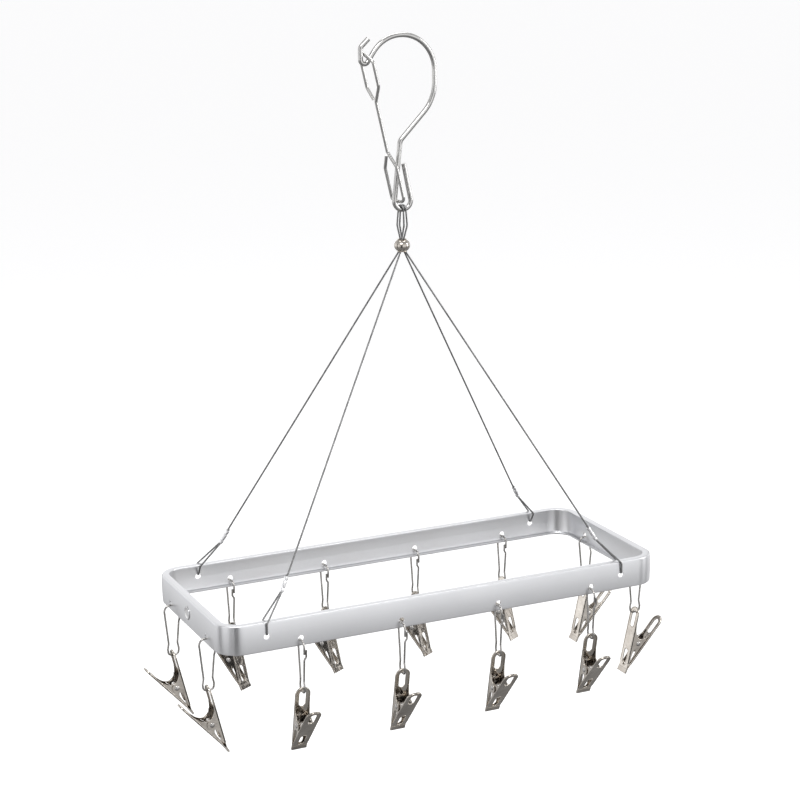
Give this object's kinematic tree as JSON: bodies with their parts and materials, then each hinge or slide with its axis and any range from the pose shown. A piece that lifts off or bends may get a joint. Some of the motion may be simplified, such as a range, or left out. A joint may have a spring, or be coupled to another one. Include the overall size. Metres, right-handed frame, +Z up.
{
  "type": "clip drying hanger",
  "caption": "Hanging laundry dryer: a rounded aluminium rail frame on two wire ropes and a latched wire hook, with spring clips on wire links.",
  "frame": {"origin": "the point inside the hook's bowl that rests on the pole, above the middle of the rail frame", "axes": "+Z up, +X along the long sides of the rail frame, +Y from the front long side to the back one; the hook lies in the XZ plane and a pole under it runs along Y"},
  "size_m": [0.434, 0.2075, 0.5452],
  "materials": {
    "hook_wire": "bright drawn stainless wire",
    "latch_wire": "bright drawn stainless wire",
    "link_wire": "bright drawn stainless wire",
    "wire_rope": "stranded stainless rope",
    "crimped_aluminium": "pressed sleeve with crimp bands",
    "polished_nickel": "polished",
    "satin_aluminium": "satin anodised extrusion",
    "rivet_aluminium": "bright flat rivet head",
    "clip_steel": "bright pressed stainless sheet with soft reflections",
    "spring_steel": "bright spring wire and pin"
  },
  "bodies": {
    "hook": {"hook": "hook_wire"},
    "latch": {"latch": "latch_wire"},
    "hanging_frame": {"cable_left": "wire_rope", "cable_right": "wire_rope", "crimp_sleeves": "crimped_aluminium", "bead": "polished_nickel", "rail_frame": "satin_aluminium", "splice_plate": "satin_aluminium", "splice_rivet": "rivet_aluminium"},
    "link_front_1": {"link_front_1": "link_wire"},
    "clip_front_1": {"held_jaw_front_1": "clip_steel", "spring_front_1": "spring_steel"},
    "free_jaw_front_1": {"free_jaw_front_1": "clip_steel"},
    "link_front_2": {"link_front_2": "link_wire"},
    "clip_front_2": {"held_jaw_front_2": "clip_steel", "spring_front_2": "spring_steel"},
    "free_jaw_front_2": {"free_jaw_front_2": "clip_steel"},
    "link_front_3": {"link_front_3": "link_wire"},
    "clip_front_3": {"held_jaw_front_3": "clip_steel", "spring_front_3": "spring_steel"},
    "free_jaw_front_3": {"free_jaw_front_3": "clip_steel"},
    "link_front_4": {"link_front_4": "link_wire"},
    "clip_front_4": {"held_jaw_front_4": "clip_steel", "spring_front_4": "spring_steel"},
    "free_jaw_front_4": {"free_jaw_front_4": "clip_steel"},
    "link_back_1": {"link_back_1": "link_wire"},
    "clip_back_1": {"held_jaw_back_1": "clip_steel", "spring_back_1": "spring_steel"},
    "free_jaw_back_1": {"free_jaw_back_1": "clip_steel"},
    "link_back_2": {"link_back_2": "link_wire"},
    "clip_back_2": {"held_jaw_back_2": "clip_steel", "spring_back_2": "spring_steel"},
    "free_jaw_back_2": {"free_jaw_back_2": "clip_steel"},
    "link_back_3": {"link_back_3": "link_wire"},
    "clip_back_3": {"held_jaw_back_3": "clip_steel", "spring_back_3": "spring_steel"},
    "free_jaw_back_3": {"free_jaw_back_3": "clip_steel"},
    "link_back_4": {"link_back_4": "link_wire"},
    "clip_back_4": {"held_jaw_back_4": "clip_steel", "spring_back_4": "spring_steel"},
    "free_jaw_back_4": {"free_jaw_back_4": "clip_steel"},
    "link_left_1": {"link_left_1": "link_wire"},
    "clip_left_1": {"held_jaw_left_1": "clip_steel", "spring_left_1": "spring_steel"},
    "free_jaw_left_1": {"free_jaw_left_1": "clip_steel"},
    "link_left_2": {"link_left_2": "link_wire"},
    "clip_left_2": {"held_jaw_left_2": "clip_steel", "spring_left_2": "spring_steel"},
    "free_jaw_left_2": {"free_jaw_left_2": "clip_steel"},
    "link_right_1": {"link_right_1": "link_wire"},
    "clip_right_1": {"held_jaw_right_1": "clip_steel", "spring_right_1": "spring_steel"},
    "free_jaw_right_1": {"free_jaw_right_1": "clip_steel"},
    "link_right_2": {"link_right_2": "link_wire"},
    "clip_right_2": {"held_jaw_right_2": "clip_steel", "spring_right_2": "spring_steel"},
    "free_jaw_right_2": {"free_jaw_right_2": "clip_steel"}
  },
  "joints": [
    {"name": "frame_swing", "type": "hinge", "parent": "hook", "child": "hanging_frame", "pos_m": [0.0011, 0, -0.1342], "axis": [1, 0, 0], "range_deg": [-25, 25]},
    {"name": "latch_lift", "type": "hinge", "parent": "hook", "child": "latch", "pos_m": [0.18, 0, -0.1455], "axis": [0, 1, 0], "range_deg": [0, 5]},
    {"name": "link_sway_front_1", "type": "hinge", "parent": "hanging_frame", "child": "link_front_1", "pos_m": [-0.1275, -0.0794, -0.44645], "axis": [0, -1, 0], "range_deg": [-30, 30]},
    {"name": "clip_tilt_front_1", "type": "hinge", "parent": "link_front_1", "child": "clip_front_1", "pos_m": [-0.1275, -0.0794, -0.48895], "axis": [1, 0, 0], "range_deg": [-20, 15]},
    {"name": "jaw_open_front_1", "type": "hinge", "parent": "clip_front_1", "child": "free_jaw_front_1", "pos_m": [-0.1275, -0.07962, -0.51595], "axis": [-1, 0, 0], "range_deg": [0, 30], "stiffness_Nm_per_rad": 0.05},
    {"name": "link_sway_front_2", "type": "hinge", "parent": "hanging_frame", "child": "link_front_2", "pos_m": [-0.0425, -0.0794, -0.44645], "axis": [0, -1, 0], "range_deg": [-30, 30]},
    {"name": "clip_tilt_front_2", "type": "hinge", "parent": "link_front_2", "child": "clip_front_2", "pos_m": [-0.0425, -0.0794, -0.48895], "axis": [1, 0, 0], "range_deg": [-20, 15]},
    {"name": "jaw_open_front_2", "type": "hinge", "parent": "clip_front_2", "child": "free_jaw_front_2", "pos_m": [-0.0425, -0.07962, -0.51595], "axis": [-1, 0, 0], "range_deg": [0, 30], "stiffness_Nm_per_rad": 0.05},
    {"name": "link_sway_front_3", "type": "hinge", "parent": "hanging_frame", "child": "link_front_3", "pos_m": [0.0425, -0.0794, -0.44645], "axis": [0, -1, 0], "range_deg": [-30, 30]},
    {"name": "clip_tilt_front_3", "type": "hinge", "parent": "link_front_3", "child": "clip_front_3", "pos_m": [0.0425, -0.0794, -0.48895], "axis": [1, 0, 0], "range_deg": [-20, 15]},
    {"name": "jaw_open_front_3", "type": "hinge", "parent": "clip_front_3", "child": "free_jaw_front_3", "pos_m": [0.0425, -0.07962, -0.51595], "axis": [-1, 0, 0], "range_deg": [0, 30], "stiffness_Nm_per_rad": 0.05},
    {"name": "link_sway_front_4", "type": "hinge", "parent": "hanging_frame", "child": "link_front_4", "pos_m": [0.1275, -0.0794, -0.44645], "axis": [0, -1, 0], "range_deg": [-30, 30]},
    {"name": "clip_tilt_front_4", "type": "hinge", "parent": "link_front_4", "child": "clip_front_4", "pos_m": [0.1275, -0.0794, -0.48895], "axis": [1, 0, 0], "range_deg": [-20, 15]},
    {"name": "jaw_open_front_4", "type": "hinge", "parent": "clip_front_4", "child": "free_jaw_front_4", "pos_m": [0.1275, -0.07962, -0.51595], "axis": [-1, 0, 0], "range_deg": [0, 30], "stiffness_Nm_per_rad": 0.05},
    {"name": "link_sway_back_1", "type": "hinge", "parent": "hanging_frame", "child": "link_back_1", "pos_m": [-0.1275, 0.0794, -0.44645], "axis": [-0.1736, 0.9848, 0], "range_deg": [-18, 18]},
    {"name": "clip_tilt_back_1", "type": "hinge", "parent": "link_back_1", "child": "clip_back_1", "pos_m": [-0.1275, 0.0794, -0.48895], "axis": [-0.848, -0.5299, 0], "range_deg": [-20, 15]},
    {"name": "jaw_open_back_1", "type": "hinge", "parent": "clip_back_1", "child": "free_jaw_back_1", "pos_m": [-0.12762, 0.07959, -0.51595], "axis": [0.848, 0.5299, 0], "range_deg": [0, 30], "stiffness_Nm_per_rad": 0.05},
    {"name": "link_sway_back_2", "type": "hinge", "parent": "hanging_frame", "child": "link_back_2", "pos_m": [-0.0425, 0.0794, -0.44645], "axis": [-0.1736, 0.9848, 0], "range_deg": [-18, 18]},
    {"name": "clip_tilt_back_2", "type": "hinge", "parent": "link_back_2", "child": "clip_back_2", "pos_m": [-0.0425, 0.0794, -0.48895], "axis": [-0.848, -0.5299, 0], "range_deg": [-20, 15]},
    {"name": "jaw_open_back_2", "type": "hinge", "parent": "clip_back_2", "child": "free_jaw_back_2", "pos_m": [-0.04262, 0.07959, -0.51595], "axis": [0.848, 0.5299, 0], "range_deg": [0, 30], "stiffness_Nm_per_rad": 0.05},
    {"name": "link_sway_back_3", "type": "hinge", "parent": "hanging_frame", "child": "link_back_3", "pos_m": [0.0425, 0.0794, -0.44645], "axis": [-0.1736, 0.9848, 0], "range_deg": [-18, 18]},
    {"name": "clip_tilt_back_3", "type": "hinge", "parent": "link_back_3", "child": "clip_back_3", "pos_m": [0.0425, 0.0794, -0.48895], "axis": [-0.848, -0.5299, 0], "range_deg": [-20, 15]},
    {"name": "jaw_open_back_3", "type": "hinge", "parent": "clip_back_3", "child": "free_jaw_back_3", "pos_m": [0.04238, 0.07959, -0.51595], "axis": [0.848, 0.5299, 0], "range_deg": [0, 30], "stiffness_Nm_per_rad": 0.05},
    {"name": "link_sway_back_4", "type": "hinge", "parent": "hanging_frame", "child": "link_back_4", "pos_m": [0.1275, 0.0794, -0.44645], "axis": [-0.1736, 0.9848, 0], "range_deg": [-18, 18]},
    {"name": "clip_tilt_back_4", "type": "hinge", "parent": "link_back_4", "child": "clip_back_4", "pos_m": [0.1275, 0.0794, -0.48895], "axis": [-0.848, -0.5299, 0], "range_deg": [-20, 15]},
    {"name": "jaw_open_back_4", "type": "hinge", "parent": "clip_back_4", "child": "free_jaw_back_4", "pos_m": [0.12738, 0.07959, -0.51595], "axis": [0.848, 0.5299, 0], "range_deg": [0, 30], "stiffness_Nm_per_rad": 0.05},
    {"name": "link_sway_left_1", "type": "hinge", "parent": "hanging_frame", "child": "link_left_1", "pos_m": [-0.1914, -0.0425, -0.44645], "axis": [-1, 0, 0], "range_deg": [-30, 30]},
    {"name": "clip_tilt_left_1", "type": "hinge", "parent": "link_left_1", "child": "clip_left_1", "pos_m": [-0.1914, -0.0425, -0.48895], "axis": [0, -1, 0], "range_deg": [-20, 15]},
    {"name": "jaw_open_left_1", "type": "hinge", "parent": "clip_left_1", "child": "free_jaw_left_1", "pos_m": [-0.19162, -0.0425, -0.51595], "axis": [0, 1, 0], "range_deg": [0, 30], "stiffness_Nm_per_rad": 0.05},
    {"name": "link_sway_left_2", "type": "hinge", "parent": "hanging_frame", "child": "link_left_2", "pos_m": [-0.1914, 0.0425, -0.44645], "axis": [-1, 0, 0], "range_deg": [-30, 30]},
    {"name": "clip_tilt_left_2", "type": "hinge", "parent": "link_left_2", "child": "clip_left_2", "pos_m": [-0.1914, 0.0425, -0.48895], "axis": [0, -1, 0], "range_deg": [-20, 15]},
    {"name": "jaw_open_left_2", "type": "hinge", "parent": "clip_left_2", "child": "free_jaw_left_2", "pos_m": [-0.19162, 0.0425, -0.51595], "axis": [0, 1, 0], "range_deg": [0, 30], "stiffness_Nm_per_rad": 0.05},
    {"name": "link_sway_right_1", "type": "hinge", "parent": "hanging_frame", "child": "link_right_1", "pos_m": [0.1914, -0.0425, -0.44645], "axis": [1, 0, 0], "range_deg": [-30, 30]},
    {"name": "clip_tilt_right_1", "type": "hinge", "parent": "link_right_1", "child": "clip_right_1", "pos_m": [0.1914, -0.0425, -0.48895], "axis": [0, 1, 0], "range_deg": [-20, 15]},
    {"name": "jaw_open_right_1", "type": "hinge", "parent": "clip_right_1", "child": "free_jaw_right_1", "pos_m": [0.19162, -0.0425, -0.51595], "axis": [0, -1, 0], "range_deg": [0, 30], "stiffness_Nm_per_rad": 0.05},
    {"name": "link_sway_right_2", "type": "hinge", "parent": "hanging_frame", "child": "link_right_2", "pos_m": [0.1914, 0.0425, -0.44645], "axis": [1, 0, 0], "range_deg": [-30, 30]},
    {"name": "clip_tilt_right_2", "type": "hinge", "parent": "link_right_2", "child": "clip_right_2", "pos_m": [0.1914, 0.0425, -0.48895], "axis": [0, 1, 0], "range_deg": [-20, 15]},
    {"name": "jaw_open_right_2", "type": "hinge", "parent": "clip_right_2", "child": "free_jaw_right_2", "pos_m": [0.19162, 0.0425, -0.51595], "axis": [0, -1, 0], "range_deg": [0, 30], "stiffness_Nm_per_rad": 0.05}
  ]
}
